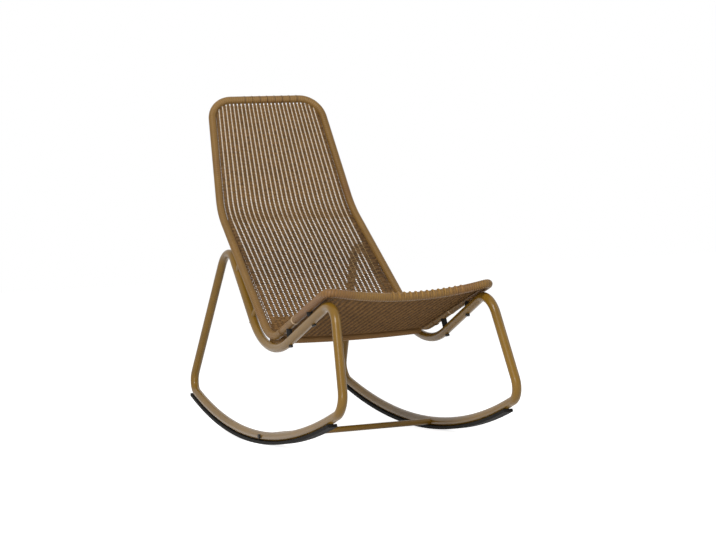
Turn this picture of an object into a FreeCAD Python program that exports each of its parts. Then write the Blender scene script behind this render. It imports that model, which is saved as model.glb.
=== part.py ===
import FreeCAD, Part
import math
import os
import Sketcher

Vec = FreeCAD.Vector
doc = FreeCAD.newDocument("rocking_chaise_lounge")

# Driving dimensions in millimetres and degrees.
# X is across the chair, -Y the front, +Z up, and the origin is on the floor under the middle.
SIZES = [
    # Side loops: each lies in a plane that leans outward toward the floor.
    ("loop_tube_diameter", 22.2),
    ("splay_angle", 5.62),
    ("loop_spacing_at_floor", 461.5),
    ("apex_y", 303.1),
    ("apex_height", 503.7),
    ("apex_radius", 62.0),
    ("valley_y", -33.5),
    ("valley_height", 198.5),
    ("valley_radius", 250.0),
    ("knee_y", -455.4),
    ("knee_height", 359.1),
    ("knee_radius", 57.8),
    ("front_foot_y", -583.5),
    ("front_corner_radius", 42.8),
    ("rear_foot_y", 625.9),
    ("rear_corner_radius", 36.9),
    ("runner_radius", 1630),
    ("runner_centre_y", 1.0),
    # Glide strips under the runners.
    ("glide_thickness", 7.5),
    ("glide_width", 24),
    ("glide_front_reach", 473),
    ("glide_rear_reach", 530),
    # Cross tube between the runners.
    ("cross_tube_diameter", 15.2),
    ("cross_tube_wall", 1.5),
    ("cross_tube_y", -32.5),
    ("cross_plug_length", 26),
    ("bolt_diameter", 6),
    ("bolt_clearance", 0.2),
    ("bolt_head_diameter", 11),
    ("bolt_head_height", 4.2),
    ("bolt_socket_width", 4),
    ("bolt_socket_depth", 2.4),
    # Shell rails: each diameter is over the flat strand wound tight on the tube.
    ("rail_diameter", 20.2),
    ("top_behind_bend", 129.7),
    ("top_rise_over_bend", 303.8),
    ("top_half_width", 154.2),
    ("top_corner_radius", 61.6),
    ("bend_behind_apex", 33.2),
    ("bend_rise_over_apex", 72.5),
    ("bend_half_width", 185.8),
    ("bend_radius", 177.2),
    ("fold_ahead_of_valley", 5.6),
    ("fold_rise_over_valley", 50.8),
    ("fold_half_width", 200.8),
    ("fold_radius", 120.0),
    ("front_behind_knee", 9.4),
    ("front_rise_over_knee", 15.6),
    ("front_half_width", 208.5),
    ("front_rail_corner_radius", 20.3),
    ("front_bow_drop", 20.4),
    ("front_bow_back", 6.0),
    ("splice_lead", 30),
    ("fold_tube_bow", 4),
    # Weave: lengthwise stakes, edge stakes beside the rails, and bands of cross rows.
    ("stake_count", 27),
    ("stake_width", 5),
    ("stake_thickness", 1.6),
    ("edge_stake_offset", 5),
    ("edge_stake_gap", 0.8),
    ("row_pitch", 22),
    ("row_height", 20),
    ("bend_row_pitch", 13),
    ("bend_row_height", 12),
    ("row_thickness", 1),
    ("weave_clearance", 0.3),
    # Spacers between the loops and the rails, measured along the loop from its valley.
    ("spacer_diameter", 14),
    ("seat_spacer_front", 312),
    ("seat_spacer_rear", 164),
    ("back_spacer_low", 160),
    ("back_spacer_high", 330),
    ("thread_depth", 9),
    ("tie_width", 5),
    ("tie_thickness", 0.8),
    ("tie_lead", 95),
]

# The shell's corners keep their places beside the corners of the side loops, and the outermost
# lengthwise stakes theirs beside the edge stakes.
FOLLOWING = [
    ("stake_margin", "=rail_diameter / 2 + edge_stake_offset + stake_width + edge_stake_gap"),
    ("bend_y", "=apex_y + bend_behind_apex"),
    ("bend_height", "=apex_height + bend_rise_over_apex"),
    ("top_y", "=bend_y + top_behind_bend"),
    ("top_height", "=bend_height + top_rise_over_bend"),
    ("fold_y", "=valley_y - fold_ahead_of_valley"),
    ("fold_height", "=valley_height + fold_rise_over_valley"),
    ("front_y", "=knee_y + front_behind_knee"),
    ("front_height", "=knee_height + front_rise_over_knee"),
]

sheet = doc.addObject("Spreadsheet::Sheet", "dimensions")
for row, (alias, value) in enumerate(SIZES + FOLLOWING, start=1):
    sheet.set(f"A{row}", alias)
    sheet.set(f"B{row}", str(value))
    sheet.setAlias(f"B{row}", alias)
doc.recompute()


def size(alias):
    return float(sheet.get(alias))


parts = []


def keep(obj, label):
    obj.Label = label
    parts.append(obj)
    return obj


def bind(obj, prop, expression):
    for alias, _ in sorted(SIZES, key=lambda item: -len(item[0])):
        expression = expression.replace(f"<{alias}>", f"dimensions.{alias}")
    obj.setExpression(prop, expression)


def origin_plane(body, role):
    return next(f for f in body.Origin.OriginFeatures if f.Role == role)


def sketch_on(body, name, role):
    sketch = body.newObject("Sketcher::SketchObject", name)
    sketch.AttachmentSupport = [(origin_plane(body, role), "")]
    sketch.MapMode = "FlatFace"
    return sketch


def constrain(sketch, name, expression, *args):
    index = sketch.addConstraint(Sketcher.Constraint(*args))
    sketch.renameConstraint(index, name)
    bind(sketch, f"Constraints.{name}", expression)


def shape_part(label, shape):
    feature = doc.addObject("Part::Feature", label)
    feature.Shape = shape
    return keep(feature, label)


# Side loop geometry, worked out in the loop's own plane as (y, height) pairs.
splay = math.radians(size("splay_angle"))
tube_radius = size("loop_tube_diameter") / 2
runner_low = (size("glide_thickness") + tube_radius) / math.cos(splay)
apex = Vec(0, size("apex_y"), size("apex_height"))
valley = Vec(0, size("valley_y"), size("valley_height"))
knee = Vec(0, size("knee_y"), size("knee_height"))
front_foot = Vec(0, size("front_foot_y"), 0)
rear_foot = Vec(0, size("rear_foot_y"), 0)
runner_centre = Vec(0, size("runner_centre_y"), runner_low + size("runner_radius"))


def corner(before, at, after, radius):
    """Start, middle, end and centre of the arc that rounds a corner."""
    back = (before - at).normalize()
    ahead = (after - at).normalize()
    half = back.getAngle(ahead) / 2
    reach = radius / math.tan(half)
    inward = (back + ahead).normalize()
    centre = at + inward * (radius / math.sin(half))
    return at + back * reach, centre - inward * radius, at + ahead * reach, centre


def bent_path(points, radii):
    """A wire of straight runs joined by tangent arcs; one radius for each inner point."""
    edges = []
    here = points[0]
    for i, radius in enumerate(radii, start=1):
        start, middle, end, _ = corner(points[i - 1], points[i], points[i + 1], radius)
        if (start - here).Length > 1e-4:
            edges.append(Part.LineSegment(here, start).toShape())
        edges.append(Part.Arc(start, middle, end).toShape())
        here = end
    edges.append(Part.LineSegment(here, points[-1]).toShape())
    return Part.Wire(edges)


def round_bar(path, radius):
    """A round bar swept along a wire."""
    first = path.Edges[0]
    start = first.valueAt(first.FirstParameter)
    ring = Part.Circle(start, first.tangentAt(first.FirstParameter), radius)
    return path.makePipeShell([Part.Wire(ring.toShape())], True, False)


def cylinder(start, direction, radius, length):
    return Part.makeCylinder(radius, length, start, direction)


def leg_corner(top, foot, radius):
    """Where a straight leg runs into the runner: ends and centre of the arc between them."""
    down = (foot - top).normalize()
    inward = Vec(0, -down.z, down.y)
    if inward.y * (size("runner_centre_y") - foot.y) < 0:
        inward = inward * -1
    to_start = top + inward * radius - runner_centre
    reach = size("runner_radius") - radius
    along = to_start.dot(down)
    t = -along + math.sqrt(along * along - to_start.dot(to_start) + reach * reach)
    centre = top + inward * radius + down * t
    outward = (centre - runner_centre).normalize()
    return centre - inward * radius, runner_centre + outward * size("runner_radius"), centre


back_start, _, back_end, valley_centre = corner(apex, valley, knee, size("valley_radius"))
knee_start, _, knee_end, knee_centre = corner(valley, knee, front_foot, size("knee_radius"))
apex_start, _, apex_end, apex_centre = corner(rear_foot, apex, valley, size("apex_radius"))
front_start, front_end, front_centre = leg_corner(knee, front_foot, size("front_corner_radius"))
rear_end, rear_start, rear_centre = leg_corner(apex, rear_foot, size("rear_corner_radius"))


# Path of one side loop: four straight runs, the runner arc and five bends.
def loop_sketch(body):
    sketch = sketch_on(body, body.Name + "_path", "YZ_Plane")

    def flat(p):
        return Vec(p.y, p.z, 0)

    def arc(centre, radius, first, last):
        """Adds the arc first to last; tells which of its ends is which."""
        circle = Part.Circle(flat(centre), Vec(0, 0, 1), radius)
        a = math.atan2(first.z - centre.z, first.y - centre.y)
        b = math.atan2(last.z - centre.z, last.y - centre.y)
        turn = (b - a) % (2 * math.pi)
        if turn < math.pi:
            return sketch.addGeometry(Part.ArcOfCircle(circle, a, a + turn)), 1, 2
        return sketch.addGeometry(Part.ArcOfCircle(circle, b, b + 2 * math.pi - turn)), 2, 1

    def line(first, last):
        return sketch.addGeometry(Part.LineSegment(flat(first), flat(last))), 1, 2

    # The low point of the runner splits its arc, so the tube's section starts there.
    runner_bottom = runner_centre - Vec(0, 0, size("runner_radius"))
    chain = [
        arc(runner_centre, size("runner_radius"), runner_bottom, front_end),
        arc(front_centre, size("front_corner_radius"), front_end, front_start),
        line(front_start, knee_end),
        arc(knee_centre, size("knee_radius"), knee_end, knee_start),
        line(knee_start, back_end),
        arc(valley_centre, size("valley_radius"), back_end, back_start),
        line(back_start, apex_end),
        arc(apex_centre, size("apex_radius"), apex_end, apex_start),
        line(apex_start, rear_end),
        arc(rear_centre, size("rear_corner_radius"), rear_end, rear_start),
        arc(runner_centre, size("runner_radius"), rear_start, runner_bottom),
    ]
    for (a, _, a_last), (b, b_first, _) in zip(chain, chain[1:]):
        sketch.addConstraint(Sketcher.Constraint("Tangent", a, a_last, b, b_first))
    first, last = chain[0], chain[-1]
    sketch.addConstraint(Sketcher.Constraint("Coincident", last[0], last[2], first[0], first[1]))
    sketch.addConstraint(Sketcher.Constraint("Coincident", last[0], 3, first[0], 3))
    sketch.addConstraint(Sketcher.Constraint("Vertical", first[0], 3, first[0], first[1]))
    radii = {
        0: "runner_radius", 1: "front_corner_radius", 3: "knee_radius",
        5: "valley_radius", 7: "apex_radius", 9: "rear_corner_radius",
    }
    for place, alias in radii.items():
        constrain(sketch, alias, f"<{alias}>", "Radius", chain[place][0], size(alias))
    constrain(sketch, "centre_y", "<runner_centre_y>", "DistanceX", first[0], 3, runner_centre.y)
    constrain(
        sketch, "low_height", "(<glide_thickness> + <loop_tube_diameter> / 2) / cos(<splay_angle>)",
        "DistanceY", first[0], first[1], runner_low,
    )
    # Each corner point lies on both straight runs that meet there.
    corners = [
        ("apex", apex, (chain[6], chain[8])),
        ("valley", valley, (chain[4], chain[6])),
        ("knee", knee, (chain[2], chain[4])),
    ]
    for name, place, runs in corners:
        point = sketch.addGeometry(Part.Point(flat(place)), True)
        for run in runs:
            sketch.addConstraint(Sketcher.Constraint("PointOnObject", point, 1, run[0]))
        constrain(sketch, name + "_y", f"<{name}_y>", "DistanceX", point, 1, place.y)
        constrain(sketch, name + "_height", f"<{name}_height>", "DistanceY", point, 1, place.z)
    for name, place, run in (("front", front_foot, chain[2]), ("rear", rear_foot, chain[8])):
        point = sketch.addGeometry(Part.Point(flat(place)), True)
        sketch.addConstraint(Sketcher.Constraint("PointOnObject", point, 1, run[0]))
        sketch.addConstraint(Sketcher.Constraint("PointOnObject", point, 1, -1))
        constrain(sketch, name + "_foot_y", f"<{name}_foot_y>", "DistanceX", point, 1, place.y)
    return sketch


def ring_sketch(body, name, radius_expression, radius):
    """A circle round the runner's lowest point, square to the tube."""
    sketch = sketch_on(body, body.Name + name, "XZ_Plane")
    # This plane's normal is -Y, so the offset along it is the negative of y.
    bind(sketch, "AttachmentOffset.Base.z", "-<runner_centre_y>")
    index = sketch.addGeometry(Part.Circle(Vec(0, runner_low, 0), Vec(0, 0, 1), radius))
    sketch.addConstraint(Sketcher.Constraint("PointOnObject", index, 3, -2))
    constrain(
        sketch, "low_height", "(<glide_thickness> + <loop_tube_diameter> / 2) / cos(<splay_angle>)",
        "DistanceY", -1, 1, index, 3, runner_low,
    )
    constrain(sketch, "radius", radius_expression, "Radius", index, radius)
    return sketch


def place_side(obj, side):
    """Stands a side piece in its leaning plane; side is +1 or -1 along X."""
    obj.Placement = FreeCAD.Placement(Vec(1, 0, 0), FreeCAD.Rotation(Vec(0, 1, 0), 1))
    bind(obj, "Placement.Base.x", f"{side} * <loop_spacing_at_floor> / 2")
    bind(obj, "Placement.Rotation.Angle", f"{-side} * <splay_angle>")


def side_body(name, side):
    body = doc.addObject("PartDesign::Body", name)
    path = loop_sketch(body)
    outer = ring_sketch(body, "_outer", "<loop_tube_diameter> / 2", tube_radius)
    doc.recompute()
    pipe = body.newObject("PartDesign::AdditivePipe", name + "_pipe")
    pipe.Profile = outer
    pipe.Spine = (path, [f"Edge{i}" for i in range(1, len(path.Shape.Edges) + 1)])
    pipe.Transition = "Transformed"
    doc.recompute()
    place_side(body, side)
    return body


SIDES = (("right", -1), ("left", 1))
frames = {name: side_body(name + "_loop", side) for name, side in SIDES}
doc.recompute()


def in_world(point, side):
    """A point of the loop's own plane, where that side's loop stands."""
    x = side * (size("loop_spacing_at_floor") / 2 - point.z * math.sin(splay))
    return Vec(x, point.y, point.z * math.cos(splay))


# Shell rails. Each corner of the shell lies on both sides of the chair.
rail_radius = size("rail_diameter") / 2


def shell_point(name, side):
    return Vec(side * size(name + "_half_width"), size(name + "_y"), size(name + "_height"))


def toward(start, end, distance):
    return start + (end - start).normalize() * distance


def corner_reach(before, at, after, radius):
    return (corner(before, at, after, radius)[0] - at).Length


SHELL = {side: {n: shell_point(n, side) for n in ("top", "bend", "fold", "front")} for _, side in SIDES}
fold_reach = corner_reach(SHELL[1]["bend"], SHELL[1]["fold"], SHELL[1]["front"], size("fold_radius"))
front_middle = Vec(
    0, size("front_y") + 2 * size("front_bow_back"), size("front_height") - 2 * size("front_bow_drop")
)
front_reach = corner_reach(
    SHELL[1]["fold"], SHELL[1]["front"], front_middle, size("front_rail_corner_radius")
)
top_reach = corner_reach(SHELL[1]["bend"], SHELL[1]["top"], SHELL[-1]["top"], size("top_corner_radius"))
for side, points in SHELL.items():
    points["splice"] = toward(points["fold"], points["front"], fold_reach + size("splice_lead"))
    points["top_end"] = toward(points["top"], points["bend"], top_reach + 1)
    points["front_end"] = toward(points["front"], points["fold"], front_reach + 1)


def bow_radius(start, middle, end, reach):
    """Radius of the long arc at the middle of a bowed rail, for its reach either way."""
    return reach * math.tan((start - middle).getAngle(end - middle) / 2)


right, left = SHELL[-1], SHELL[1]
back_hoop_path = bent_path(
    [right["splice"], right["fold"], right["bend"], right["top"],
     left["top"], left["bend"], left["fold"], left["splice"]],
    [size("fold_radius"), size("bend_radius"), size("top_corner_radius"),
     size("top_corner_radius"), size("bend_radius"), size("fold_radius")],
)
front_bow_radius = bow_radius(
    right["front"], front_middle, left["front"],
    (front_middle - right["front"]).Length - front_reach - 1,
)
front_radii = [size("front_rail_corner_radius"), front_bow_radius, size("front_rail_corner_radius")]
seat_hoop_path = bent_path(
    [right["splice"], right["front"], front_middle, left["front"], left["splice"]], front_radii
)

# The fold tube crosses under the weave where seat and back meet, clear of the rows' edges.
weave_depth = size("stake_thickness") / 2 + size("row_thickness")
row_edge_rise = size("bend_row_height") ** 2 / (8 * size("fold_radius"))
fold_drop = rail_radius + weave_depth + row_edge_rise + 2 * size("weave_clearance")
_, fold_middle, _, fold_centre = corner(left["bend"], left["fold"], left["front"], size("fold_radius"))
fold_outward = (fold_middle - fold_centre).normalize()
fold_outward = Vec(0, fold_outward.y, fold_outward.z).normalize()
# The weave hangs lower in the middle, and the tube is bowed to follow it.
_, sagged_middle, _, _ = corner(
    Vec(0, size("bend_y"), size("bend_height")),
    Vec(0, size("fold_y"), size("fold_height") - size("fold_tube_bow")),
    Vec(0, size("front_y") + size("front_bow_back"), size("front_height") - size("front_bow_drop")),
    size("fold_radius"),
)
fold_ends = [Vec(s * fold_middle.x, fold_middle.y, fold_middle.z) + fold_outward * fold_drop for s in (-1, 1)]
between_ends = (fold_ends[0] + fold_ends[1]) * 0.5
fold_low = between_ends + (sagged_middle + fold_outward * fold_drop - between_ends) * 2
fold_tube_radius = bow_radius(
    fold_ends[0], fold_low, fold_ends[1], (fold_low - fold_ends[0]).Length - 2
)
fold_path = bent_path([fold_ends[0], fold_low, fold_ends[1]], [fold_tube_radius])


# Spacer stations: a point on the loop, the nearest point of the rail, and the line between.
def station(side, loop_from, loop_to, distance, rail_from, rail_to):
    on_loop = in_world(toward(loop_from, loop_to, distance), side)
    along = (rail_to - rail_from).normalize()
    on_rail = rail_from + along * (on_loop - rail_from).dot(along)
    return on_loop, on_rail, (on_rail - on_loop).normalize()


STATIONS = {"seat": [], "back": []}
for _, side in SIDES:
    for alias in ("seat_spacer_front", "seat_spacer_rear"):
        STATIONS["seat"].append(
            station(side, valley, knee, size(alias), SHELL[side]["fold"], SHELL[side]["front"])
        )
    for alias in ("back_spacer_low", "back_spacer_high"):
        STATIONS["back"].append(
            station(side, valley, apex, size(alias), SHELL[side]["fold"], SHELL[side]["bend"])
        )
ALL_STATIONS = STATIONS["seat"] + STATIONS["back"]

# The cross tube meets each runner a little behind or ahead of its lowest point.
cross_rise = size("runner_radius") - math.sqrt(
    size("runner_radius") ** 2 - (size("cross_tube_y") - size("runner_centre_y")) ** 2
)
CROSS_ENDS = {side: in_world(Vec(0, size("cross_tube_y"), runner_low + cross_rise), side) for _, side in SIDES}
bolt_hole_radius = size("bolt_diameter") / 2 + size("bolt_clearance")


# Side loops, drilled for the spacer bolts and the cross tube bolt.
for (name, side) in SIDES:
    drills = []
    for on_loop, _, axis in ALL_STATIONS:
        if on_loop.x * side > 0:
            drills.append(cylinder(on_loop - axis * 2 * tube_radius, axis, bolt_hole_radius, 4 * tube_radius))
    out = Vec(side, 0, 0)
    drills.append(cylinder(CROSS_ENDS[side] - out * 2 * tube_radius, out, bolt_hole_radius, 4 * tube_radius))
    tool = doc.addObject("Part::Feature", name + "_loop_drills")
    tool.Shape = Part.makeCompound(drills)
    cut = doc.addObject("Part::Cut", name + "_side_frame")
    cut.Base = frames[name]
    cut.Tool = tool
    keep(cut, name + "_side_frame")


# Glide strips: a flat-bottomed bar bent along the underside of each runner.
def glide_body(name, side):
    body = doc.addObject("PartDesign::Body", name + "_glide_bar")
    across = Vec(math.cos(splay), -side * math.sin(splay), 0)
    up = Vec(side * math.sin(splay), math.cos(splay), 0)
    depth = size("glide_thickness") + tube_radius
    height = size("glide_thickness")
    foot = Vec(0, runner_low, 0) - up * depth
    half = across * (size("glide_width") / 2)
    ring = [foot - half, foot + half, foot + half + up * height, foot - half + up * height]
    sketch = sketch_on(body, name + "_glide_section", "XZ_Plane")
    bind(sketch, "AttachmentOffset.Base.z", "-<runner_centre_y>")
    lines = [sketch.addGeometry(Part.LineSegment(ring[i], ring[(i + 1) % 4])) for i in range(4)]
    for i in range(4):
        sketch.addConstraint(Sketcher.Constraint("Coincident", lines[i], 2, lines[(i + 1) % 4], 1))
    for i in range(3):
        sketch.addConstraint(Sketcher.Constraint("Perpendicular", lines[i], lines[i + 1]))
    point = sketch.addGeometry(Part.Point(foot), True)
    sketch.addConstraint(Sketcher.Constraint("Symmetric", lines[0], 1, lines[0], 2, point, 1))
    constrain(sketch, "width", "<glide_width>", "Distance", lines[0], size("glide_width"))
    constrain(sketch, "height", "<glide_thickness>", "Distance", lines[1], height)
    constrain(sketch, "foot_x", f"{-side} * (<glide_thickness> + <loop_tube_diameter> / 2) * sin(<splay_angle>)",
              "DistanceX", point, 1, foot.x)
    constrain(sketch, "foot_height",
              "(<glide_thickness> + <loop_tube_diameter> / 2) * (1 / cos(<splay_angle>) - cos(<splay_angle>))",
              "DistanceY", point, 1, foot.y)
    constrain(sketch, "tilt", f"{-side} * <splay_angle> * 1 deg", "Angle", lines[0], -side * splay)

    def turning_line(target):
        centre = runner_low + size("runner_radius")
        axis = target.addGeometry(Part.LineSegment(Vec(-10, centre, 0), Vec(10, centre, 0)), True)
        target.addConstraint(Sketcher.Constraint("Symmetric", axis, 1, axis, 2, -2))
        target.addConstraint(Sketcher.Constraint("Distance", axis, 20))
        constrain(
            target, "turning_height",
            "<runner_radius> + (<glide_thickness> + <loop_tube_diameter> / 2) / cos(<splay_angle>)",
            "DistanceY", axis, 1, centre,
        )

    turning_line(sketch)
    doc.recompute()
    turn = body.newObject("PartDesign::Revolution", name + "_glide_bend")
    turn.Profile = sketch
    turn.ReferenceAxis = (sketch, ["Axis0"])
    turn.Type = "TwoAngles"
    bind(turn, "Angle", "asin(<glide_rear_reach> / (<runner_radius> + <loop_tube_diameter> / 2))")
    bind(turn, "Angle2", "asin(<glide_front_reach> / (<runner_radius> + <loop_tube_diameter> / 2))")
    place_side(body, side)
    return body


for (name, side) in SIDES:
    keep(glide_body(name, side), name + "_runner_glide")
doc.recompute()


def set_at(shape, start, direction):
    """A copy of a shape made along +Z, moved to a start and a direction."""
    copy = shape.copy()
    turn = FreeCAD.Rotation(Vec(0, 0, 1), direction)
    copy.Placement = FreeCAD.Placement(start, turn).multiply(copy.Placement)
    return copy


# Cross tube, its ends shaped to the runners, with a threaded plug in each end.
cross_radius = size("cross_tube_diameter") / 2
cross_reach = 2 * abs(CROSS_ENDS[1].x)
cross_bore = cross_radius - size("cross_tube_wall")
cross_tube = cylinder(CROSS_ENDS[-1], Vec(1, 0, 0), cross_radius, cross_reach)
cross_tube = cross_tube.cut(cylinder(CROSS_ENDS[-1], Vec(1, 0, 0), cross_bore, cross_reach))
shape_part("cross_tube", cross_tube.cut([frames[name].Shape for name, _ in SIDES]))

plug_set_back = tube_radius / math.cos(splay) + cross_radius * math.tan(splay)
cross_head_seat = tube_radius / math.cos(splay)


def cross_plug(side):
    inward = Vec(-side, 0, 0)
    start = CROSS_ENDS[side] + inward * plug_set_back
    plug = cylinder(start, inward, cross_bore, size("cross_plug_length"))
    return plug.cut(cylinder(start, inward, size("bolt_diameter") / 2, size("cross_plug_length")))


shape_part("cross_tube_plugs", Part.makeCompound([cross_plug(side) for _, side in SIDES]))


# Button head bolt with a hex socket: the head's outer face is at the start, the shank runs on.
def socket_bolt(start, direction, length):
    head = Part.makeCylinder(size("bolt_head_diameter") / 2, size("bolt_head_height"))
    corner_radius = size("bolt_socket_width") / math.sqrt(3)
    corners = [
        Vec(corner_radius * math.cos(math.pi / 3 * i), corner_radius * math.sin(math.pi / 3 * i), 0)
        for i in range(7)
    ]
    socket = Part.Face(Part.makePolygon(corners)).extrude(Vec(0, 0, size("bolt_socket_depth")))
    shank = Part.makeCylinder(size("bolt_diameter") / 2, length, Vec(0, 0, size("bolt_head_height")))
    return set_at(head.cut(socket).fuse(shank), start, direction)


cross_bolt_length = cross_head_seat + plug_set_back + size("cross_plug_length") * 0.8
shape_part("cross_tube_bolts", Part.makeCompound([
    socket_bolt(
        CROSS_ENDS[side] + Vec(side, 0, 0) * (cross_head_seat + size("bolt_head_height")),
        Vec(-side, 0, 0), cross_bolt_length,
    )
    for _, side in SIDES
]))

# Shell rails, drilled for the bolts; the fold tube's ends are shaped to the rails.
bolt_bite = size("thread_depth") - rail_radius
rail_drills = [
    cylinder(on_rail - axis * 2 * rail_radius, axis, size("bolt_diameter") / 2, 2 * rail_radius + bolt_bite)
    for _, on_rail, axis in ALL_STATIONS
]
back_hoop_bar = round_bar(back_hoop_path, rail_radius)
seat_hoop_bar = round_bar(seat_hoop_path, rail_radius)
shape_part("back_hoop", back_hoop_bar.cut(rail_drills))
shape_part("seat_hoop", seat_hoop_bar.cut(rail_drills))
shape_part("fold_tube", round_bar(fold_path, rail_radius).cut(back_hoop_bar))


# Spacers between loop and rail, their ends shaped to both tubes, and their bolts.
def along_station(on_loop, on_rail):
    return (on_rail - on_loop).Length


def spacer(on_loop, on_rail, axis, loop_line, rail_line):
    """A short bored pillar; each end fits the straight tube that it bears on."""
    length = along_station(on_loop, on_rail)
    reach = 2 * size("spacer_diameter")
    pillar = cylinder(on_loop, axis, size("spacer_diameter") / 2, length)
    return pillar.cut([
        cylinder(on_loop, axis, bolt_hole_radius, length),
        cylinder(on_loop - loop_line * reach, loop_line, tube_radius, 2 * reach),
        cylinder(on_rail - rail_line * reach, rail_line, rail_radius, 2 * reach),
    ])


def station_bolt(on_loop, on_rail, axis):
    length = tube_radius + along_station(on_loop, on_rail) + bolt_bite
    return socket_bolt(on_loop - axis * (tube_radius + size("bolt_head_height")), axis, length)


def loop_direction(start, end, side):
    return (in_world(end, side) - in_world(start, side)).normalize()


RUNS = {"seat": (valley, knee, "fold", "front"), "back": (valley, apex, "fold", "bend")}
for zone, stations in STATIONS.items():
    loop_from, loop_to, rail_from, rail_to = RUNS[zone]
    for (name, side) in SIDES:
        loop_line = loop_direction(loop_from, loop_to, side)
        rail_line = (SHELL[side][rail_to] - SHELL[side][rail_from]).normalize()
        shape_part(f"{name}_{zone}_spacers", Part.makeCompound([
            spacer(on_loop, on_rail, axis, loop_line, rail_line)
            for on_loop, on_rail, axis in stations if on_loop.x * side > 0
        ]))
    shape_part(f"{zone}_bolts", Part.makeCompound([station_bolt(*place) for place in stations]))


# Strand ties: a narrow band round each seat rail.
def tie(side):
    along = (SHELL[side]["front"] - SHELL[side]["fold"]).normalize()
    start = SHELL[side]["splice"] + along * size("tie_lead")
    band = cylinder(start, along, rail_radius + size("tie_thickness"), size("tie_width"))
    return band.cut(cylinder(start, along, rail_radius, size("tie_width")))


shape_part("strand_ties", Part.makeCompound([tie(side) for _, side in SIDES]))


# Weave surface. A strand at share u of the half width (-1 to 1) runs from the top rail, round
# the bend and the fold, to the front rail; the middle of it hangs lower at the fold and front.
def strand_point(name, x, share):
    sag = 1 - share * share
    drop = {"fold": size("fold_tube_bow"), "front": size("front_bow_drop")}.get(name, 0)
    back = size("front_bow_back") if name == "front" else 0
    return Vec(x, size(name + "_y") + back * sag, size(name + "_height") - drop * sag)


def strand_points(share, margin):
    """Corner points of a strand that keeps to the same share of the width inside the margin."""
    points = {}
    for name in ("top", "bend", "fold", "front"):
        x = share * (size(name + "_half_width") - margin)
        points[name] = strand_point(name, x, x / size(name + "_half_width"))
    return points


def corner_depth(x, half_width, radius):
    """How far inside a rounded corner of the shell the clear weave starts, at this x."""
    gap = rail_radius + size("weave_clearance")
    past = abs(x) - (half_width - radius)
    if past <= 0:
        return gap
    return radius - math.sqrt(max((radius - gap) ** 2 - past ** 2, 0))


def strand_bar(share, margin):
    p = strand_points(share, margin)
    half = size("stake_width") / 2
    top_x = abs(p["top"].x) + half
    front_x = abs(p["front"].x) + half
    top_depth = corner_depth(top_x, size("top_half_width"), size("top_corner_radius"))
    front_depth = corner_depth(front_x, size("front_half_width"), size("front_rail_corner_radius"))
    start = toward(p["top"], p["bend"], top_depth)
    end = toward(p["front"], p["fold"], front_depth)
    path = bent_path([start, p["bend"], p["fold"], end], [size("bend_radius"), size("fold_radius")])
    along = (p["bend"] - start).normalize()
    out = along.cross(Vec(1, 0, 0)).normalize() * (size("stake_thickness") / 2)
    across = out.cross(along).normalize() * half
    ring = [start + across + out, start - across + out, start - across - out, start + across - out]
    profile = Part.makePolygon(ring + ring[:1])
    return path.makePipeShell([profile], True, False)


count = int(size("stake_count"))
shape_part("weave_stakes", Part.makeCompound([
    strand_bar(-1 + 2 * i / (count - 1), size("stake_margin")) for i in range(count)
]))
shape_part("edge_stakes", Part.makeCompound([
    strand_bar(side, rail_radius + size("edge_stake_offset")) for _, side in SIDES
]))


# Cross rows: bands across the stakes, in front of them and behind them by turns.
def strand_runs(share):
    """The five runs of a strand: straight, bend, straight, fold, straight."""
    p = strand_points(share, 0)
    bend = corner(p["top"], p["bend"], p["fold"], size("bend_radius"))
    fold = corner(p["bend"], p["fold"], p["front"], size("fold_radius"))
    gap = rail_radius + size("weave_clearance")
    top = toward(p["top"], p["bend"], gap)
    front = toward(p["front"], p["fold"], gap)
    return [(top, bend[0], None), (bend[0], bend[2], bend[3]), (bend[2], fold[0], None),
            (fold[0], fold[2], fold[3]), (fold[2], front, None)]


def on_run(run, fraction):
    """Point and direction at a fraction of one run."""
    start, end, centre = run
    if centre is None:
        return start + (end - start) * fraction, (end - start).normalize()
    axis = (start - centre).cross(end - centre).normalize()
    turn = math.degrees((start - centre).getAngle(end - centre)) * fraction
    arm = FreeCAD.Rotation(axis, turn).multVec(start - centre)
    return centre + arm, axis.cross(arm).normalize()


def run_length(run):
    start, end, centre = run
    if centre is None:
        return (end - start).Length
    return (start - centre).Length * (start - centre).getAngle(end - centre)


def row_reach(near_edge, half_width, radius, half):
    """Half length of a row near a rounded corner; near_edge is its distance from the rail."""
    gap = rail_radius + size("weave_clearance")
    if near_edge >= radius:
        return half
    inside = (radius - gap) ** 2 - (radius - near_edge) ** 2
    return min(half, half_width - radius + math.sqrt(max(inside, 0)))


def row_bar(edge, middle, tall, layer, half):
    """One band: straight where its ends and middle are level, else bent to the sag."""
    out = Vec(1, 0, 0).cross(tall).normalize()
    centre_line = middle + out * (layer * (size("stake_thickness") + size("row_thickness")) / 2)
    thick = out * (size("row_thickness") / 2)
    ring = [centre_line + tall + thick, centre_line - tall + thick,
            centre_line - tall - thick, centre_line + tall - thick]
    face = Part.Face(Part.makePolygon(ring + ring[:1]))
    sag = middle - Vec(0, edge.y, edge.z)
    if sag.Length < 0.05:
        return face.copy().translate(Vec(-half, 0, 0)).extrude(Vec(2 * half, 0, 0))
    width = abs(edge.x)
    bow = (width * width + sag.Length ** 2) / (2 * sag.Length)
    centre = middle - sag.normalize() * bow
    axis = Vec(1, 0, 0).cross(sag).normalize()
    turn = math.degrees(math.asin(half / bow))
    face.rotate(centre, axis, turn)
    return face.revolve(centre, axis, -2 * turn)


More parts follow.
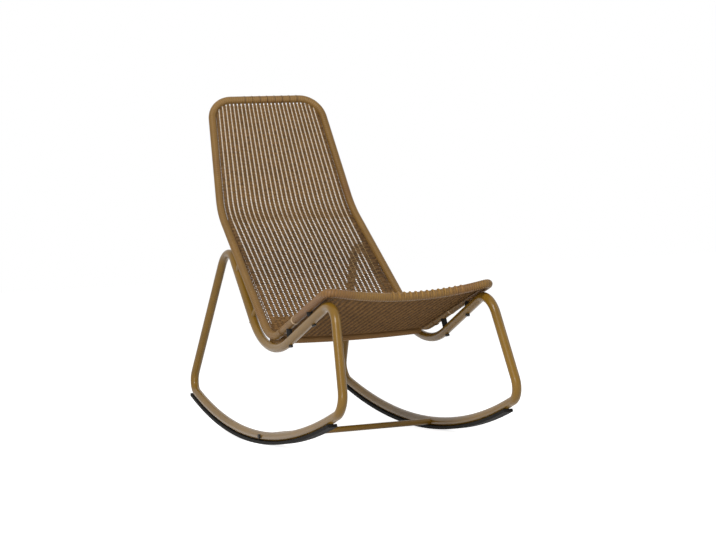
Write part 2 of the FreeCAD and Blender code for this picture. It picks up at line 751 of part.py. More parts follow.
edge_runs = strand_runs(1)
middle_runs = strand_runs(0)
ROW_NODES = ["upper_back_rows", "bend_rows", "lower_back_rows", "fold_rows", "seat_rows"]
layer = 1
for place, label in enumerate(ROW_NODES):
    length = run_length(middle_runs[place])
    kind = "bend_row" if middle_runs[place][2] else "row"
    tall = size(kind + "_height")
    rows = max(1, round(length / size(kind + "_pitch")))
    bars = []
    for i in range(rows):
        fraction = (i + 0.5) / rows
        edge, _ = on_run(edge_runs[place], fraction)
        middle, direction = on_run(middle_runs[place], fraction)
        half = abs(edge.x) - rail_radius - size("weave_clearance")
        clear_of = rail_radius + length * min(fraction, 1 - fraction) - tall / 2
        if place == 0 and fraction < 0.5:
            half = row_reach(clear_of, size("top_half_width"), size("top_corner_radius"), half)
        if place == len(ROW_NODES) - 1 and fraction > 0.5:
            half = row_reach(clear_of, size("front_half_width"), size("front_rail_corner_radius"), half)
        bars.append(row_bar(edge, middle, direction * (tall / 2), layer, half))
        layer = -layer
    shape_part(label, Part.makeCompound(bars))

# Every object is sound before anything is written.
doc.recompute()
for obj in doc.Objects:
    if "Invalid" in obj.State or "Error" in obj.State:
        raise RuntimeError(f"{obj.Label} failed: {obj.State}")
for obj in parts:
    if obj.Shape.isNull() or not obj.Shape.isValid() or not obj.Shape.Solids:
        raise RuntimeError(f"{obj.Label} has no sound shape")

os.makedirs("parts", exist_ok=True)
for obj in parts:
    obj.Shape.exportStep(f"parts/{obj.Label}.step")
    print(f"{obj.Label}: {len(obj.Shape.Solids)} solids, {obj.Shape.Volume:.0f} mm3")
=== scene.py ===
import math
import bpy
import numpy as np
from mathutils import Matrix, Vector


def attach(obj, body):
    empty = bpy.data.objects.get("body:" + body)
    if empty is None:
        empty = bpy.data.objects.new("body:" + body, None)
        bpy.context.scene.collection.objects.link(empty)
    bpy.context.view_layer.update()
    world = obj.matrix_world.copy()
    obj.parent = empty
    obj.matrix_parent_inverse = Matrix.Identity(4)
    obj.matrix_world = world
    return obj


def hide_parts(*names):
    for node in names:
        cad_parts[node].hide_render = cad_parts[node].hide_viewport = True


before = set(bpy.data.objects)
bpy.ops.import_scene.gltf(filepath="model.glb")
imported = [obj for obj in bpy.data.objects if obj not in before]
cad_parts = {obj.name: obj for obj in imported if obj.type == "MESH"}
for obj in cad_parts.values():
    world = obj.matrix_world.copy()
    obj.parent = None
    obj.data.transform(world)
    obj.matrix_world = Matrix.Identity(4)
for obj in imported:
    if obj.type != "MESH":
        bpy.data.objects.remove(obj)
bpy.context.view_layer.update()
bpy.ops.object.select_all(action="DESELECT")


# Studio: a white floor and an even white surround, with a soft lamp high on the left, a lower one
# beside the camera and a broad weak one on the right. The camera stands low, ahead of the chair
# and to its right hand side, with a long lens.
class Shade:
    """A value in a material's node tree; sums and products of such values add their Math nodes."""

    def __init__(self, tree, socket=None):
        self.tree = tree
        self.socket = socket

    def node(self, kind, settings=None, sockets=None, out=0):
        made = self.tree.nodes.new(kind)
        for name, value in (settings or {}).items():
            setattr(made, name, value)
        for name, value in (sockets or {}).items():
            if isinstance(value, Shade):
                self.tree.links.new(value.socket, made.inputs[name])
            else:
                made.inputs[name].default_value = value
        return Shade(self.tree, made.outputs[out]) if len(made.outputs) else None

    def maths(self, operation, other=0.0):
        return self.node("ShaderNodeMath", {"operation": operation}, {0: self, 1: other})

    def clamped(self):
        """This value, held between 0 and 1."""
        settings = {"operation": "ADD", "use_clamp": True}
        return self.node("ShaderNodeMath", settings, {0: self, 1: 0.0})

    def __add__(self, other):
        return self.maths("ADD", other)

    __radd__ = __add__

    def __mul__(self, other):
        return self.maths("MULTIPLY", other)

    __rmul__ = __mul__

    def __sub__(self, other):
        return self.maths("SUBTRACT", other)

    def __rsub__(self, other):
        return self.node("ShaderNodeMath", {"operation": "SUBTRACT"}, {0: other, 1: self})

    def __pow__(self, other):
        return self.maths("POWER", other)

    def mix(self, first, second):
        """The first colour where this value is 0 and the second where it is 1."""
        made = self.node("ShaderNodeMix", {"data_type": "RGBA"}, {0: self}).socket.node
        for place, value in ((6, first), (7, second)):
            if isinstance(value, Shade):
                self.tree.links.new(value.socket, made.inputs[place])
            else:
                made.inputs[place].default_value = (*value, 1)
        return Shade(self.tree, made.outputs[2])

    def noise(self, scale, detail=3.0, roughness=0.5, at=None):
        """Even fractal noise from 0 to 1 over the surface."""
        at = at or self.node("ShaderNodeTexCoord", out="Object")
        return self.node(
            "ShaderNodeTexNoise", None,
            {"Vector": at, "Scale": scale, "Detail": detail, "Roughness": roughness},
        )

    def height(self):
        """Height over the floor in metres."""
        place = self.node("ShaderNodeTexCoord", out="Object")
        return self.node("ShaderNodeSeparateXYZ", None, {0: place}, "Z")

    def bump(self, height, strength, distance):
        return self.node(
            "ShaderNodeBump", None, {"Height": height, "Strength": strength, "Distance": distance}
        )


def new_material(name):
    material = bpy.data.materials.new(name)
    material.use_nodes = True
    material.node_tree.nodes.clear()
    return material, Shade(material.node_tree)


def finish_material(shade, values):
    surface = shade.node("ShaderNodeBsdfPrincipled", None, values)
    shade.node("ShaderNodeOutputMaterial", None, {"Surface": surface})


def seen_directly(shade):
    """1 for camera, glossy and transmission rays, else 0."""
    camera_ray = shade.node("ShaderNodeLightPath", out="Is Camera Ray")
    glossy_ray = shade.node("ShaderNodeLightPath", out="Is Glossy Ray")
    through_ray = shade.node("ShaderNodeLightPath", out="Is Transmission Ray")
    return (camera_ray + glossy_ray + through_ray).maths("MINIMUM", 1.0)


white = (1, 1, 1, 1)
floor_material, shade = new_material("studio_floor")
glow = shade.node(
    "ShaderNodeEmission", None, {"Color": white, "Strength": seen_directly(shade) * 0.84}
)
diffuse = shade.node("ShaderNodeBsdfDiffuse", None, {"Color": (0.86, 0.86, 0.86, 1)})
both = shade.node("ShaderNodeAddShader", None, {0: diffuse, 1: glow})
shade.node("ShaderNodeOutputMaterial", None, {"Surface": both})
bpy.ops.mesh.primitive_plane_add(size=40, location=(0, 0, 0))
floor = bpy.context.object
floor.name = "studio_floor"
floor.data.materials.append(floor_material)

world = bpy.data.worlds.new("studio_surround")
bpy.context.scene.world = world
world.use_nodes = True
world.node_tree.nodes.clear()
shade = Shade(world.node_tree)
seen_strength = 1.0
lighting_strength = 0.25
strength = seen_directly(shade) * (seen_strength - lighting_strength) + lighting_strength
even = shade.node("ShaderNodeBackground", None, {"Color": white, "Strength": strength})
shade.node("ShaderNodeOutputWorld", None, {"Surface": even})

lamp_target = Vector((0, 0, 0.4))
for name, place, size, power in (
    ("key_lamp", (-2.2, -2.4, 3.2), 1.0, 115),
    ("front_lamp", (-2.7, -3.8, 1.1), 0.7, 62),
    ("fill_lamp", (3.0, -1.6, 2.2), 2.2, 22),
):
    bpy.ops.object.light_add(type="AREA", location=place)
    lamp = bpy.context.object
    lamp.name = name
    lamp.data.size = size
    lamp.data.energy = power
    lamp.rotation_euler = (lamp_target - Vector(place)).to_track_quat("-Z", "Y").to_euler()

camera_place = Vector((-1.91552, -4.74641, 0.50003))
yaw, pitch, roll = -0.393652, 0.017096, -0.049616
focal_pixels = 2039.86
image_width = 716
level = Vector((math.cos(yaw), math.sin(yaw), 0))
forward = Vector((-math.sin(yaw), math.cos(yaw), 0))
ahead = forward * math.cos(pitch) - Vector((0, 0, math.sin(pitch)))
upright = level.cross(ahead)
across = level * math.cos(roll) + upright * math.sin(roll)
upright = upright * math.cos(roll) - level * math.sin(roll)
bpy.ops.object.camera_add()
camera = bpy.context.object
camera.name = "camera"
camera.data.sensor_width = 36
camera.data.lens = focal_pixels * camera.data.sensor_width / image_width
camera.data.clip_end = 100
turn = Matrix((across, upright, -ahead)).transposed()
camera.matrix_world = Matrix.Translation(camera_place) @ turn.to_4x4()
bpy.context.scene.camera = camera
bpy.context.scene.view_settings.view_transform = "Standard"


# Side loops and cross tube: bent steel tube with a satin mustard brown powder coat. The coat
# has a fine orange peel, and is a little thinner and darker in places.
coat, shade = new_material("frame_coat")
patches = shade.noise(7.0, 4.0, 0.6)
streaks = shade.noise(2.2, 2.0)
peel = shade.noise(700.0, 2.0)
tone = ((patches * 0.6 + streaks * 0.4 - 0.2) * 1.4).clamped()
finish_material(shade, {
    "Base Color": tone.mix((0.120, 0.062, 0.006), (0.275, 0.146, 0.016)),
    "Roughness": 0.24 + patches * 0.10,
    "Normal": shade.bump(peel, 0.10, 0.0006),
    "IOR": 1.36,
})


def finish_nodes(material, *names):
    for name in names:
        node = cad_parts[name]
        if not node.material_slots:
            node.data.materials.append(material)
        for slot in node.material_slots:
            slot.material = material


finish_nodes(coat, "right_side_frame", "left_side_frame", "cross_tube")


# Glide strips: extruded black plastic with a matt skin, scuffed by the floor. Each is bent along
# the underside of its runner.
glide_plastic, shade = new_material("glide_plastic")
scuffs = shade.noise(60.0, 5.0, 0.7)
grain = shade.noise(1500.0, 2.0)
finish_material(shade, {
    "Base Color": scuffs.mix((0.004, 0.004, 0.004), (0.016, 0.014, 0.012)),
    "Roughness": 0.70 + scuffs * 0.20,
    "IOR": 1.22,
    "Normal": shade.bump(grain, 0.15, 0.0004),
})
finish_nodes(glide_plastic, "right_runner_glide", "left_runner_glide")


# Spacers: short plastic pillars between the loops and the shell rails, black under the seat and
# coated like the loops behind the back, where they don't show as dark.
spacer_plastic, shade = new_material("spacer_plastic")
grain = shade.noise(1200.0, 2.0)
finish_material(shade, {
    "Base Color": grain.mix((0.006, 0.006, 0.006), (0.016, 0.015, 0.014)),
    "Roughness": 0.7 + grain * 0.15,
    "IOR": 1.25,
    "Normal": shade.bump(grain, 0.12, 0.0004),
})
finish_nodes(spacer_plastic, "right_seat_spacers", "left_seat_spacers")
finish_nodes(coat, "right_back_spacers", "left_back_spacers")


# Bolts and threaded plugs: steel, blackened, with worn edges round the hex sockets. The bolts of
# the back are coated with the loops.
bolt_steel, shade = new_material("bolt_steel")
wear = shade.noise(420.0, 4.0, 0.6)
finish_material(shade, {
    "Base Color": wear.mix((0.010, 0.009, 0.008), (0.040, 0.034, 0.028)),
    "Metallic": 0.3,
    "Roughness": 0.45 + wear * 0.2,
    "IOR": 1.3,
    "Normal": shade.bump(wear, 0.08, 0.0003),
})
finish_nodes(bolt_steel, "seat_bolts", "cross_tube_bolts", "cross_tube_plugs")
finish_nodes(coat, "back_bolts")


# Shell rails: bent tube wound tight with flat brown strand, each turn 6 mm wide and a little
# slanted. One turn is modelled, repeated, and bent along the rail's own line.
straight_step = 0.008
bend_step = 0.006
shortest_straight = 0.0005


def deselect():
    bpy.ops.object.select_all(action="DESELECT")


def bent_line(name, points, radii):
    """A line through the points, each inner corner rounded to its radius."""
    deselect()
    bpy.ops.mesh.primitive_plane_add(size=0.001, location=points[0])
    line = bpy.context.object
    line.name = name
    bpy.ops.object.mode_set(mode="EDIT")
    bpy.ops.mesh.select_all(action="SELECT")
    bpy.ops.mesh.merge(type="CENTER")

    def straight(move):
        steps = max(1, round(move.length / straight_step))
        for _ in range(steps):
            bpy.ops.mesh.extrude_region_move(TRANSFORM_OT_translate={"value": move / steps})

    here = points[0]
    for i, radius in enumerate(radii, start=1):
        back = (points[i - 1] - points[i]).normalized()
        on = (points[i + 1] - points[i]).normalized()
        half = back.angle(on) / 2
        reach = radius / math.tan(half)
        start = points[i] + back * reach
        end = points[i] + on * reach
        centre = points[i] + (back + on).normalized() * (radius / math.sin(half))
        if (start - here).length > shortest_straight:
            straight(start - here)
        turn = math.pi - 2 * half
        steps = max(3, round(radius * turn / bend_step))
        axis = (start - centre).cross(end - centre)
        bpy.ops.mesh.spin(steps=steps, angle=-turn, center=centre, axis=axis)
        here = end
    straight(points[-1] - here)
    bpy.ops.object.mode_set(mode="OBJECT")
    bpy.ops.object.transform_apply(location=True)
    bpy.ops.object.convert(target="CURVE")
    return bpy.context.object


def wind_along(piece, line, step):
    """Repeats a piece every step along X and bends the row along a line."""
    bpy.context.view_layer.objects.active = piece
    repeat = piece.modifiers.new("repeat", "ARRAY")
    repeat.use_relative_offset = False
    repeat.use_constant_offset = True
    repeat.constant_offset_displace = (step, 0, 0)
    repeat.fit_type = "FIT_CURVE"
    repeat.curve = line
    repeat.use_merge_vertices = True
    repeat.merge_threshold = 0.00005
    bpy.ops.object.modifier_apply(modifier="repeat")
    follow = piece.modifiers.new("follow", "CURVE")
    follow.object = line
    bpy.ops.object.modifier_apply(modifier="follow")


def finished(piece, replaced, material):
    """Gives a new piece its material and its body, and hides the solids that it stands for."""
    piece.data.materials.clear()
    piece.data.materials.append(material)
    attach(piece, "root")
    if replaced:
        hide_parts(*replaced)
    return piece


rail_radius = 0.0101
turn_width = 0.006
seam_depth = 0.0006
seam_share = 0.12
# The shell's corners as half width, depth and height of the rails' middle lines, before rounding.
shell = {
    "top": (0.1542, 0.4660, 0.8800),
    "bend": (0.1858, 0.3363, 0.5762),
    "fold": (0.2008, -0.0391, 0.2493),
    "front": (0.2085, -0.4460, 0.3747),
}
shell_radius = {"top": 0.0616, "bend": 0.1772, "fold": 0.1200, "front": 0.0203}
front_drop, front_back, fold_bow = 0.0204, 0.0060, 0.0040


def shell_corner(name, side):
    x, y, z = shell[name]
    return Vector((side * x, y, z))


def write_places(piece, places):
    """Writes two numbers for each vertex, its place in the winding or weave, as the piece's UV."""
    for layer in list(piece.data.uv_layers):
        piece.data.uv_layers.remove(layer)
    layer = piece.data.uv_layers.new(name="places")
    owners = np.zeros(len(piece.data.loops), dtype=np.int32)
    piece.data.loops.foreach_get("vertex_index", owners)
    layer.data.foreach_set("uv", np.asarray(places, dtype=np.float32)[owners].ravel())


def places_in(shade):
    """The two numbers that write_places stored; both are 0 where there are none."""
    uv = shade.node("ShaderNodeUVMap", {"uv_map": "places"})
    return [shade.node("ShaderNodeSeparateXYZ", None, {0: uv}, axis) for axis in ("X", "Y")]


def rail_turn(name):
    """One turn of flat strand: a short ring with soft edges, slanted by the lead of the winding."""
    deselect()
    bpy.ops.mesh.primitive_circle_add(
        vertices=24, radius=rail_radius - seam_depth, rotation=(0, math.pi / 2, 0)
    )
    ring = bpy.context.object
    ring.name = name
    bpy.ops.object.transform_apply(rotation=True)
    bpy.ops.object.mode_set(mode="EDIT")
    bpy.ops.mesh.select_all(action="SELECT")
    swell = rail_radius / (rail_radius - seam_depth)
    for share, grow in ((seam_share, swell), (1 - 2 * seam_share, 1.0), (seam_share, 1 / swell)):
        bpy.ops.mesh.extrude_region_move(
            TRANSFORM_OT_translate={"value": (turn_width * share, 0, 0)}
        )
        bpy.ops.transform.resize(value=(1, grow, grow))
    bpy.ops.object.mode_set(mode="OBJECT")
    write_places(ring, [(abs(2 * v.co.x / turn_width - 1), 0) for v in ring.data.vertices])
    lead = turn_width / (4 * rail_radius)
    for vertex in ring.data.vertices:
        vertex.co.x += vertex.co.z * lead
    bpy.ops.object.mode_set(mode="EDIT")
    bpy.ops.mesh.select_all(action="SELECT")
    bpy.ops.mesh.normals_make_consistent(inside=False)
    bpy.ops.object.mode_set(mode="OBJECT")
    return ring


wrap, shade = new_material("strand_wrap")
tint = shade.noise(16.0, 4.0, 0.6)
fibre = shade.noise(260.0, 4.0, 0.7)
tone = (tint * 1.3 - 0.15).clamped()
stain = ((shade.noise(6.0, 2.0, 0.5) - 0.5) * 5 + 0.2).clamped()
# Painted light: the wrap is painted paler along the top rail, as if the lamps fell on it more
# there.
top_rail_height = 0.84
painted_top_light = ((shade.height() - top_rail_height) * 30).clamped()
strand_colour = tone.mix((0.215, 0.112, 0.022), (0.400, 0.222, 0.050))
strand_colour = (stain * 0.75).mix(strand_colour, (0.270, 0.112, 0.040))
strand_colour = (painted_top_light * 0.5).mix(strand_colour, (0.52, 0.31, 0.105))
seam, _ = places_in(shade)
# Painted shade: the wrap is painted darker in the seams between the turns; the fibre darkens it in
# flecks as well.
seam_shade_and_fibre = ((seam ** 4) * 0.85 + fibre * 0.40).maths("MINIMUM", 1.0)
finish_material(shade, {
    "Base Color": seam_shade_and_fibre.mix(strand_colour, (0.070, 0.032, 0.008)),
    "Roughness": 0.38 + fibre * 0.14,
    "Normal": shade.bump(fibre, 0.10, 0.0005),
    "IOR": 1.36,
})

splice_past_fold = 0.030
splice = {}
for side in (-1, 1):
    before, at, on = (shell_corner(name, side) for name in ("bend", "fold", "front"))
    fold_reach = shell_radius["fold"] / math.tan((before - at).angle(on - at) / 2)
    splice[side] = at + (on - at).normalized() * (fold_reach + splice_past_fold)
_, front_y, front_z = shell["front"]
middle = Vector((0, front_y + 2 * front_back, front_z - 2 * front_drop))
back_line = bent_line("back_rail_line", [
    splice[-1], shell_corner("fold", -1), shell_corner("bend", -1), shell_corner("top", -1),
    shell_corner("top", 1), shell_corner("bend", 1), shell_corner("fold", 1), splice[1],
], [shell_radius[name] for name in ("fold", "bend", "top", "top", "bend", "fold")])
front_corner = shell_corner("front", -1)
far_corner = shell_corner("front", 1)
half = (splice[-1] - front_corner).angle(middle - front_corner) / 2
half_bow = (front_corner - middle).angle(far_corner - middle) / 2
straight_left = 0.001
bow_reach = (middle - front_corner).length - shell_radius["front"] / math.tan(half) - straight_left
bow_radius = bow_reach * math.tan(half_bow)
seat_line = bent_line(
    "seat_rail_line", [splice[-1], front_corner, middle, far_corner, splice[1]],
    [shell_radius["front"], bow_radius, shell_radius["front"]],
)

for name, line, node in (
    ("wrapped_back_rail", back_line, "back_hoop"), ("wrapped_seat_rail", seat_line, "seat_hoop"),
):
    rail = rail_turn(name)
    wind_along(rail, line, turn_width)
    finished(rail, [node], wrap)
    deselect()
    rail.select_set(True)
    bpy.context.view_layer.objects.active = rail
    bpy.ops.object.shade_smooth_by_angle(angle=math.radians(50))
    bpy.data.objects.remove(line)


# Woven shell: lengthwise stakes with fine round strand woven over and under them, row by row.
# It is close and see-through in the back and tight in the fold and the seat. The strand is painted
# darker in the grooves between the stakes, painted shade that is deepest on the seat, and painted
# pale cream in the middle of the gaps of the back, painted light that falls through.
rail_gap = rail_radius + 0.0003


def round_corner(before, at, after, radius):
    """Start, end and centre of the arc at a corner, for many strands at once."""
    back = before - at
    back /= np.linalg.norm(back, axis=1, keepdims=True)
    on = after - at
    on /= np.linalg.norm(on, axis=1, keepdims=True)
    half = np.arccos(np.clip((back * on).sum(1), -1, 1))[:, None] / 2
    inward = back + on
    inward /= np.linalg.norm(inward, axis=1, keepdims=True)
    reach = radius / np.tan(half)
    return at + back * reach, at + on * reach, at + inward * radius / np.sin(half)


weave_margin = {"top": 0.0150, "bend": 0.0170, "fold": 0.0290, "front": 0.0200}
selvage_reach = rail_radius * 0.75
stake_count = 27
last_stake = stake_count - 1
middle_stake = last_stake // 2
run_end = 0.9999


def on_shell(stake, run, lift):
    """Places on the shell: stake number across, run 0 to 5 from top to front, lift off the face."""
    stake = np.asarray(stake, float)
    corners = {}
    for name, (half_width, y, z) in shell.items():
        margin = weave_margin[name]
        x = (2 * np.clip(stake, 0, last_stake) / last_stake - 1) * (half_width - margin)
        beyond = np.clip(stake - last_stake, 0, 1) - np.clip(-stake, 0, 1)
        x = x + beyond * (margin - selvage_reach)
        sag = 1 - (x / half_width) ** 2
        drop = {"fold": fold_bow, "front": front_drop}.get(name, 0)
        back = front_back if name == "front" else 0
        corners[name] = np.stack([x, y + back * sag, z - drop * sag], 1)
    top, bend, fold, front = (corners[n] for n in ("top", "bend", "fold", "front"))
    bend_start, bend_end, bend_centre = round_corner(top, bend, fold, shell_radius["bend"])
    fold_start, fold_end, fold_centre = round_corner(bend, fold, front, shell_radius["fold"])
    down = bend - top
    top_start = top + down / np.linalg.norm(down, axis=1, keepdims=True) * rail_gap
    rise = fold - front
    front_end = front + rise / np.linalg.norm(rise, axis=1, keepdims=True) * rail_gap
    runs = [
        (top_start, bend_start, None), (bend_start, bend_end, bend_centre),
        (bend_end, fold_start, None), (fold_start, fold_end, fold_centre),
        (fold_end, front_end, None),
    ]
    run = np.asarray(run, float)
    place = np.zeros((len(stake), 3))
    along = np.zeros((len(stake), 3))
    for i, (start, end, centre) in enumerate(runs):
        # The first and the last run go on straight past the shell's ends.
        low = -math.inf if i == 0 else i
        high = math.inf if i == len(runs) - 1 else i + 1
        here = (run >= low) & (run < high)
        if not here.any():
            continue
        t = (run[here] - i)[:, None]
        s, e = start[here], end[here]
        if centre is None:
            place[here] = s + (e - s) * t
            along[here] = e - s
        else:
            c = centre[here]
            a, b = s - c, e - c
            radius = np.linalg.norm(a, axis=1, keepdims=True)
            whole = np.arccos(np.clip((a * b).sum(1, keepdims=True) / radius ** 2, -1, 1))
            place[here] = c + (np.sin((1 - t) * whole) * a + np.sin(t * whole) * b) / np.sin(whole)
            along[here] = np.cos(t * whole) * b - np.cos((1 - t) * whole) * a
    along /= np.linalg.norm(along, axis=1, keepdims=True)
    out = np.cross(np.array([[1.0, 0, 0]]), along)
    out /= np.linalg.norm(out, axis=1, keepdims=True)
    return place + out * np.asarray(lift)[:, None]


strand_lift = 0.0016


def woven_cell(name, row_pitch, strand):
    """Two neighbouring strands over two stakes: X counts stakes, Y counts rows, Z is the lift."""
    deselect()
    bpy.ops.mesh.primitive_circle_add(vertices=5, radius=1, rotation=(0, math.pi / 2, 0))
    cell = bpy.context.object
    cell.name = name
    bpy.ops.object.transform_apply(rotation=True)
    bpy.ops.object.mode_set(mode="EDIT")
    bpy.ops.mesh.select_all(action="SELECT")
    bpy.ops.transform.resize(value=(1, strand / row_pitch, strand))
    bpy.ops.transform.translate(value=(-1, 0, -strand_lift))
    heights = [-1.0, -0.8, 0.0, 0.8, 1.0, 0.8, 0.0, -0.8, -1.0]
    step = 2 / (len(heights) - 1)
    for low, high in zip(heights, heights[1:]):
        bpy.ops.mesh.extrude_region_move(
            TRANSFORM_OT_translate={"value": (step, 0, (high - low) * strand_lift)}
        )
    bpy.ops.mesh.select_all(action="SELECT")
    bpy.ops.mesh.normals_make_consistent(inside=False)
    bpy.ops.mesh.duplicate_move(TRANSFORM_OT_translate={"value": (0, 1, 0)})
    bpy.ops.transform.resize(value=(1, 1, -1), center_override=(0, 0, 0))
    bpy.ops.mesh.flip_normals()
    bpy.ops.object.mode_set(mode="OBJECT")
    return cell


def repeat_cell(cell, step, count):
    bpy.context.view_layer.objects.active = cell
    repeat = cell.modifiers.new("repeat", "ARRAY")
    repeat.use_relative_offset = False
    repeat.use_constant_offset = True
    repeat.constant_offset_displace = step
    repeat.count = count
    repeat.use_merge_vertices = True
    repeat.merge_threshold = 0.00002
    bpy.ops.object.modifier_apply(modifier="repeat")


def lay_on_shell(piece, run, rows, lead):
    """Moves flat weave to its run of the shell; lead is the share left open before it."""
    flat = np.zeros(len(piece.data.vertices) * 3)
    piece.data.vertices.foreach_get("co", flat)
    flat = flat.reshape(-1, 3)
    write_places(piece, flat[:, :2])
    share = (flat[:, 1] + 0.5) / rows
    placed = on_shell(flat[:, 0], run + lead + share * (1 - lead), flat[:, 2])
    piece.data.vertices.foreach_set("co", placed.ravel())
    piece.data.update()


seat_top_height = 0.42
bend_height = 0.62
weave, shade = new_material("weave_strand")
tint = shade.noise(11.0, 3.0, 0.6)
speck = shade.noise(420.0, 3.0, 0.7)
stake_place, row_place = places_in(shade)
groove = 0.5 - (stake_place * (2 * math.pi)).maths("COSINE") * 0.5
seat_share = ((seat_top_height - shade.height()) * 12).clamped()
low_share = ((bend_height - shade.height()) * 5).clamped()
spot = shade.node("ShaderNodeCombineXYZ", None, {0: stake_place * 1.7, 1: row_place * 0.9})
fleck = shade.noise(1.0, 2.0, 0.6, spot)
grain = fleck * 2.0 + speck * 0.9 + tint * 0.3 - 1.14
lift = seat_share * 0.72 - low_share * 0.26 + 0.04
# Painted shade: the tone is painted darker in the grooves between the stakes, deepest on the seat.
tone = (grain + lift - groove * (seat_share * 0.62 + 0.06)).clamped()
inside_selvage = (stake_place * 8).clamped() * ((last_stake - stake_place) * 8).clamped()
# Painted light: pale cream painted in the middle of the gaps between the stakes of the back.
painted_light_between_stakes = (groove ** 8) * (1 - seat_share) * inside_selvage * (1 - low_share * 0.45)
strand_colour = tone.mix((0.036, 0.016, 0.004), (0.238, 0.126, 0.042))
finish_material(shade, {
    "Base Color": (painted_light_between_stakes * 0.9).mix(strand_colour, (0.72, 0.50, 0.25)),
    "Roughness": 0.5 + speck * 0.2,
    "Normal": shade.bump(speck, 0.10, 0.0004),
    "IOR": 1.30,
})


def run_length(run):
    """Length of one run along the middle stake."""
    steps = np.linspace(run, run + run_end, 40)
    places = on_shell(np.full(len(steps), middle_stake), steps, 0 * steps)
    return float(np.linalg.norm(np.diff(places, axis=0), axis=1).sum())


# Each zone: its name, run, row pitch, strand radius and the share of the run left open first.
zones = (
    ("upper_back_rows", 0, 0.0042, 0.00140, 0.018),
    ("bend_rows", 1, 0.0050, 0.00145, 0.0),
    ("lower_back_rows", 2, 0.0064, 0.00130, 0.0),
    ("fold_rows", 3, 0.0032, 0.00155, 0.0),
    ("seat_rows", 4, 0.0034, 0.00165, 0.0),
)
for node, run, row_pitch, strand, lead in zones:
    rows = 2 * round(run_length(run) / row_pitch / 2)
    cloth = woven_cell("woven_" + node, row_pitch, strand)
    repeat_cell(cloth, (2, 0, 0), (stake_count + 1) // 2)
    repeat_cell(cloth, (0, 2, 0), rows // 2)
    lay_on_shell(cloth, run, rows, lead)
    finished(cloth, [node], weave)


# Stakes: flat oval strands from the top rail to the front rail, with narrower ones added in the
# selvage beside each side rail and between the stakes of the seat. The profile's width is a
# share of the stakes' pitch, so the stakes spread and narrow with the shell.
stake_profile = [
    (0.37, 0.0), (0.27, 0.0008), (0.0, 0.0011), (-0.27, 0.0008),
    (-0.37, 0.0), (-0.27, -0.0008), (0.0, -0.0011), (0.27, -0.0008),
]
steps_in_runs = (30, 10, 40, 20, 34)
selvage_start, selvage_width = 1.9, 0.36
seat_start, seat_width = 2.94, 0.6
flecks_per_run = 70
# The stakes sit at this place in the weave's groove shading, so they are painted darker: painted
# shade under the rows that cross them.
stake_shade_place = 0.3


def stake_bars(name, bars):
    """Flat strands in one piece; each has a stake number, the run it starts at and its width."""
    deselect()
    bpy.ops.mesh.primitive_circle_add(vertices=8, radius=1, rotation=(math.pi / 2, 0, 0))
    bar = bpy.context.object
    bar.name = name
    bpy.ops.object.transform_apply(rotation=True)
    for vertex, (x, z) in zip(bar.data.vertices, stake_profile):
        vertex.co = (x, 0, z)
    bpy.ops.object.mode_set(mode="EDIT")
    bpy.ops.mesh.select_all(action="SELECT")
    for count in steps_in_runs:
        for _ in range(count):
            bpy.ops.mesh.extrude_region_move(TRANSFORM_OT_translate={"value": (0, 1 / count, 0)})
    bpy.ops.mesh.select_all(action="SELECT")
    bpy.ops.mesh.normals_make_consistent(inside=False)
    bpy.ops.object.mode_set(mode="OBJECT")
    flat = np.zeros(len(bar.data.vertices) * 3)
    bar.data.vertices.foreach_get("co", flat)
    flat = flat.reshape(-1, 3)
    faces = [list(p.vertices) for p in bar.data.polygons]
    points, loops, places = [], [], []
    for number, first_run, width in bars:
        run = np.minimum(first_run + flat[:, 1] * (5 - first_run) / 5, 4 + run_end)
        placed = on_shell(np.full(len(flat), number), run, flat[:, 2])
        middle_line, next_line = (
            on_shell(np.full(len(flat), middle_stake + i), run, 0 * run) for i in (0, 1)
        )
        placed[:, 0] += flat[:, 0] * (next_line - middle_line)[:, 0] * width
        loops += [[v + len(points) for v in f] for f in faces]
        points += placed.tolist()
        places += [(round(number) + stake_shade_place, r * flecks_per_run) for r in run]
    mesh = bpy.data.meshes.new(name)
    mesh.from_pydata(points, [], loops)
    bar.data = mesh
    write_places(bar, places)
    return bar


stakes = stake_bars("woven_stakes", [(number, 0, 1.0) for number in range(stake_count)])
finished(stakes, ["weave_stakes"], weave)
selvage = [(number, selvage_start, selvage_width) for number in (-0.80, -0.55, -0.28)]
selvage += [(last_stake - number, first_run, width) for number, first_run, width in selvage]
seat_stakes = [(number + 0.5, seat_start, seat_width) for number in range(last_stake)]
edges = stake_bars("woven_edge_stakes", selvage + seat_stakes)
finished(edges, ["edge_stakes"], weave)
for piece in (stakes, edges):
    deselect()
    piece.select_set(True)
    bpy.context.view_layer.objects.active = piece
    bpy.ops.object.shade_smooth()


# Fold tube: a cross tube under the fold of the shell, bowed down in its middle. It is wound with
# the same brown strand as the weave that lies on it.
finish_nodes(weave, "fold_tube")


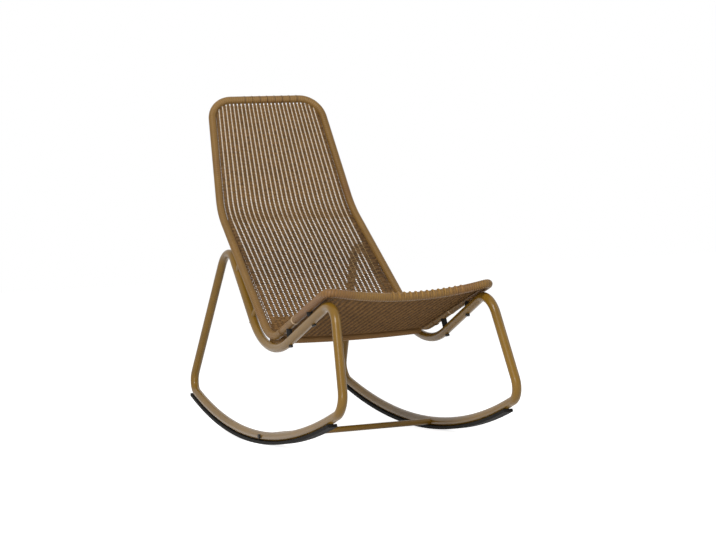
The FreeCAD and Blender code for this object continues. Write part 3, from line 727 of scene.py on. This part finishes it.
# Strand loops: strands of the stakes turned once round the top rail and round the front rail,
# and pairs of tight bands that close the winding where the seat and back rails meet.
def rail_rings(name, rings, thickness, sunk, seam_place):
    """Rings of strand round a rail, each with its place and the rail's direction there."""
    made = []
    for place, along in rings:
        deselect()
        bpy.ops.mesh.primitive_torus_add(
            major_radius=rail_radius - sunk, minor_radius=thickness,
            major_segments=24, minor_segments=10,
            location=place, rotation=along.to_track_quat("Z", "Y").to_euler(),
        )
        made.append(bpy.context.object)
    for ring in made:
        ring.select_set(True)
    bpy.context.view_layer.objects.active = made[0]
    bpy.ops.object.join()
    joined = bpy.context.object
    joined.name = name
    bpy.ops.object.transform_apply(location=True, rotation=True)
    bpy.ops.object.shade_smooth()
    # Each ring takes the wrap's dark seam colour, its painted seam shade, to the share seam_place.
    write_places(joined, [(seam_place, 0)] * len(joined.data.vertices))
    return finished(joined, [], wrap)


def stake_on_rail(name, number):
    half_width, y, z = shell[name]
    share = 2 * number / last_stake - 1
    x = share * (half_width - weave_margin[name])
    sag = 1 - (x / half_width) ** 2
    if name == "top":
        return Vector((x, y, z)), Vector((1, 0, 0))
    slope = -2 * x / half_width ** 2
    along = Vector((1, front_back * slope, -front_drop * slope)).normalized()
    return Vector((x, y + front_back * sag, z - front_drop * sag)), along


top_loops = [stake_on_rail("top", number + 0.5) for number in range(7, 23, 2)]
rail_rings("top_rail_loops", top_loops, thickness=0.0008, sunk=-0.0001, seam_place=1.0)
front_loops = [stake_on_rail("front", number) for number in range(10, 23)]
rail_rings("front_rail_loops", front_loops, thickness=0.0024, sunk=0.0018, seam_place=0.55)
band_offset = 0.0012
bands = []
for side in (-1, 1):
    along = (shell_corner("front", side) - shell_corner("fold", side)).normalized()
    bands += [(splice[side] + along * step, along) for step in (-band_offset, band_offset)]
rail_rings("rail_end_bands", bands, thickness=0.0014, sunk=-0.0004, seam_place=0.9)


# Strand ties: short bands of the same flat strand in a paler brown, wound round the seat rails
# over the wrap.
tie, shade = new_material("strand_tie")
fibre = shade.noise(300.0, 4.0, 0.6)
finish_material(shade, {
    "Base Color": fibre.mix((0.42, 0.28, 0.15), (0.62, 0.47, 0.30)),
    "Roughness": 0.5 + fibre * 0.1,
    "Normal": shade.bump(fibre, 0.10, 0.0004),
})
finish_nodes(tie, "strand_ties")
